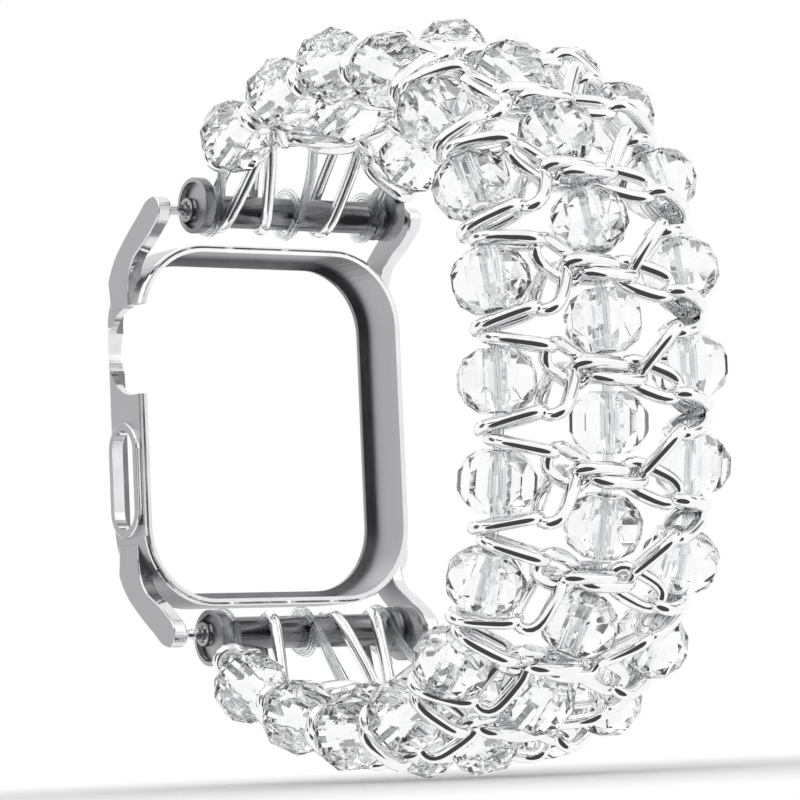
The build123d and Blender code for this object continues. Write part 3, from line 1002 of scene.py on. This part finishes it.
class BAND_OT_spring_bars(bpy.types.Operator):
    """Make the barrels, the springs and the tips of the two spring bars"""

    bl_idname = "band.spring_bars"
    bl_label = "Spring Bars"

    def execute(self, context):
        for end in ENDS:
            for part, body, shape in (
                (f"barrel_{end}", f"end_{end}", barrel_shape),
                (f"spring_{end}", f"end_{end}", spring_shape),
                (f"tip_{end}_left", f"tip_{end}_left", tip_shape),
                (f"tip_{end}_right", f"tip_{end}_right", tip_shape),
            ):
                node = f"spring_bar_{part}"
                low, high = [Vector(c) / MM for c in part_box(node)]
                radius = (high.z - low.z) / 2
                start, stop = low.x, high.x
                if node.endswith("left"):
                    start, stop = stop, start
                bm = shape(radius, start, stop, (low.y + high.y) / 2, (low.z + high.z) / 2)
                smooth_rods(bm)
                keep(f"bar_{part}", body, bm, [bright()], node)
        return {"FINISHED"}


# Stage


# What the camera and the lamps look at, in metres.
AIM = Vector((0, -0.035, 0))
# Dark cards in the studio: azimuth and elevation in degrees, size, softness, height, darkness.
CARDS = (
    (-20, -26, 0.68, 0.05, 1.0, 0.97),
    (-66, 16, 0.2, 0.05, 1.0, 0.9),
    (-104, 12, 0.26, 0.08, 0.6, 0.9),
    (70, 30, 0.28, 0.08, 1.6, 0.8),
    (160, -30, 0.25, 0.1, 1.6, 0.6),
)
# Lamps: name, setting of its power, azimuth and elevation in degrees, distance and width in m.
LAMPS = (
    ("key", "key", -75, 48, 0.55, 0.45), ("fill", "fill", 40, 30, 0.6, 0.5),
    ("rim", "fill", 170, 40, 0.6, 0.4),
)
# Colours of the studio and of its cards.
WHITE, CARD = (1.0, 1.0, 1.0, 1.0), (0.03, 0.03, 0.032, 1.0)
# Radius of the floor, and from where to where it fades to white, in metres.
FLOOR_RADIUS, FADE = 1.5, (0.03, 0.12)


def direction(azimuth, elevation):
    """The unit vector from the band to an azimuth and an elevation in radians."""
    flat = math.cos(elevation)
    return Vector((math.sin(azimuth) * flat, -math.cos(azimuth) * flat, math.sin(elevation)))


def card_group():
    """Mask of a dark card in the studio: 1 where a direction points at the card."""
    group = bpy.data.node_groups.get("Dark Card")
    if group:
        return group
    group, inside, outside = node_group(
        "Dark Card", ["Direction", "Towards", "Stretch"], ["Size", "Softness"], ["Mask"]
    )
    apart = step(group, VECTOR, "SUBTRACT", inside["Direction"], inside["Towards"])
    stretched = step(group, VECTOR, "MULTIPLY", apart, inside["Stretch"])
    fall = group.nodes.new("ShaderNodeMapRange")
    fall.interpolation_type = "SMOOTHSTEP"
    set_inputs(fall, {"To Min": 1.0, "To Max": 0.0})
    group.links.new(step(group, VECTOR, "LENGTH", stretched), fall.inputs["Value"])
    group.links.new(inside["Size"], fall.inputs["From Min"])
    outer = step(group, MATH, "ADD", inside["Size"], inside["Softness"])
    group.links.new(outer, fall.inputs["From Max"])
    group.links.new(fall.outputs["Result"], outside["Mask"])
    return group


def mixed_colour(tree, factor, first, second):
    """The output of a colour mix of two linked sockets or plain colours."""
    mix = tree.nodes.new("ShaderNodeMix")
    mix.data_type = "RGBA"
    tree.links.new(factor, mix.inputs["Factor"])
    for name, value in (("A", first), ("B", second)):
        if isinstance(value, bpy.types.NodeSocket):
            tree.links.new(value, mix.inputs[name])
        else:
            mix.inputs[name].default_value = value
    return mix.outputs["Result"]


def studio_world():
    """A white studio with a few dark cards in it, which metal and glass reflect."""
    ambient = bpy.context.scene.stage_settings.ambient
    world = bpy.data.worlds.new("Studio")
    bpy.context.scene.world = world
    world.use_nodes = True
    tree = world.node_tree
    path = tree.nodes.new("ShaderNodeLightPath").outputs
    place = tree.nodes.new("ShaderNodeTexCoord").outputs["Generated"]
    mask = None
    for azimuth, elevation, size, softness, height, amount in CARDS:
        card = tree.nodes.new("ShaderNodeGroup")
        card.node_tree = card_group()
        tree.links.new(place, card.inputs["Direction"])
        towards = direction(math.radians(azimuth), math.radians(elevation))
        set_inputs(card, {"Towards": towards, "Stretch": (1.0, 1.0, height), "Size": size,
                          "Softness": softness})
        level = step(tree, MATH, "MULTIPLY", card.outputs["Mask"], amount)
        if mask is not None:
            level = step(tree, MATH, "MAXIMUM", mask, level)
        mask = level
    screens = mixed_colour(tree, mask, WHITE, CARD)
    seen = step(tree, MATH, "MAXIMUM", path["Is Glossy Ray"], path["Is Transmission Ray"])
    lit = mixed_colour(tree, seen, (ambient, ambient, ambient, 1.0), screens)
    plain = mixed_colour(tree, path["Is Camera Ray"], lit, WHITE)
    tree.links.new(plain, tree.nodes["Background"].inputs["Color"])


def mixed_shader(tree, factor, first, second):
    """The output of a mix of two shaders."""
    mix = tree.nodes.new("ShaderNodeMixShader")
    for socket, value in zip(mix.inputs, (factor, first, second)):
        tree.links.new(value, socket)
    return mix.outputs["Shader"]


def floor_material():
    """White ground with the object's shadow, which fades to plain white and which reflections
    look through."""
    material = finish_material("Studio Floor", "floor", 0.0, 0.6, amount=0.05, scale=40.0, bump=0.0,
                               vary=0.004)
    tree = material.node_tree
    shader = tree.nodes["Principled BSDF"]
    set_inputs(shader, {"Specular IOR Level": 0.1})
    white = tree.nodes.new("ShaderNodeEmission")
    set_inputs(white, {"Color": WHITE})
    place = tree.nodes.new("ShaderNodeTexCoord").outputs["Object"]
    fade = tree.nodes.new("ShaderNodeMapRange")
    set_inputs(fade, {"From Min": FADE[0], "From Max": FADE[1]})
    far = step(tree, VECTOR, "LENGTH", place)
    tree.links.new(far, fade.inputs["Value"])
    ground = mixed_shader(tree, fade.outputs["Result"], shader.outputs["BSDF"],
                          white.outputs["Emission"])
    path = tree.nodes.new("ShaderNodeLightPath").outputs
    clear = tree.nodes.new("ShaderNodeBsdfTransparent").outputs["BSDF"]
    seen = mixed_shader(tree, path["Is Glossy Ray"], ground, clear)
    tree.links.new(seen, tree.nodes["Material Output"].inputs["Surface"])
    return material


class BAND_OT_stage(bpy.types.Operator):
    """Make the floor, the lamps and the camera"""

    bl_idname = "band.stage"
    bl_label = "Stage"

    def execute(self, context):
        scene = context.scene
        s = scene.stage_settings
        scene.view_settings.view_transform = "Standard"
        studio_world()
        bm = bmesh.new()
        bmesh.ops.create_circle(bm, cap_ends=True, segments=64, radius=FLOOR_RADIUS)
        floor = add_object("studio_floor", mesh_of(bm, "studio_floor"))
        floor.data.materials.append(floor_material())
        low, high = cad_box
        floor.location = (0, (low.y + high.y) / 2, low.z)
        for name, power, azimuth, elevation, far, wide in LAMPS:
            lamp = bpy.data.lights.new(name, "AREA")
            lamp.energy = getattr(s, power)
            lamp.size = wide
            lamp.shape = "SQUARE"
            holder = add_object(name, lamp)
            back = direction(math.radians(azimuth), math.radians(elevation))
            holder.location = AIM + back * far
            holder.rotation_euler = back.to_track_quat("Z", "Y").to_euler()
        lens = bpy.data.cameras.new("camera")
        lens.lens = s.lens
        lens.sensor_width = 36.0
        lens.shift_x, lens.shift_y = s.shift_x, s.shift_y
        lens.clip_start, lens.clip_end = 0.01, 10.0
        camera = add_object("camera", lens)
        back = direction(s.azimuth, s.elevation)
        camera.location = AIM + back * s.distance
        camera.rotation_mode = "QUATERNION"
        look = (-back).to_track_quat("-Z", "Y")
        camera.rotation_quaternion = look @ Matrix.Rotation(s.roll, 4, "Z").to_quaternion()
        scene.camera = camera
        return {"FINISHED"}


class BAND_PT_panel(bpy.types.Panel):
    """The sizes and colours of the band and the steps that make it"""

    bl_idname = "BAND_PT_panel"
    bl_label = "Watch Band"
    bl_space_type = "VIEW_3D"
    bl_region_type = "UI"
    bl_category = "Watch Band"

    def draw(self, context):
        layout = self.layout
        for operator in OPERATORS:
            layout.operator(operator.bl_idname)
        for name in GROUPS:
            box = layout.box()
            box.label(text=name.replace("_", " ").title())
            group = getattr(context.scene, name)
            for key in group.bl_rna.properties.keys():
                if key not in {"rna_type", "name"}:
                    box.prop(group, key)


OPERATORS = (
    BAND_OT_stage, BAND_OT_case_frame, BAND_OT_end_fittings, BAND_OT_spring_bars, BAND_OT_chain,
    BAND_OT_beads, BAND_OT_cords,
)
GROUPS = {
    "chain_sizes": ChainSizes,
    "bead_sizes": BeadSizes,
    "cord_sizes": CordSizes,
    "case_frame_sizes": CaseFrameSizes,
    "fitting_sizes": FittingSizes,
    "band_colours": BandColours,
    "stage_settings": StageSettings,
}


def register():
    for name, group in GROUPS.items():
        bpy.utils.register_class(group)
        setattr(bpy.types.Scene, name, PointerProperty(type=group))
    for operator in OPERATORS:
        bpy.utils.register_class(operator)
    bpy.utils.register_class(BAND_PT_panel)


def unregister():
    bpy.utils.unregister_class(BAND_PT_panel)
    for operator in reversed(OPERATORS):
        bpy.utils.unregister_class(operator)
    for name, group in reversed(list(GROUPS.items())):
        delattr(bpy.types.Scene, name)
        bpy.utils.unregister_class(group)


def main():
    register()
    bpy.ops.band.stage()
    bpy.ops.band.case_frame()
    bpy.ops.band.end_fittings()
    bpy.ops.band.spring_bars()
    bpy.ops.band.chain()
    bpy.ops.band.beads()
    bpy.ops.band.cords()


if __name__ == "__main__":
    main()
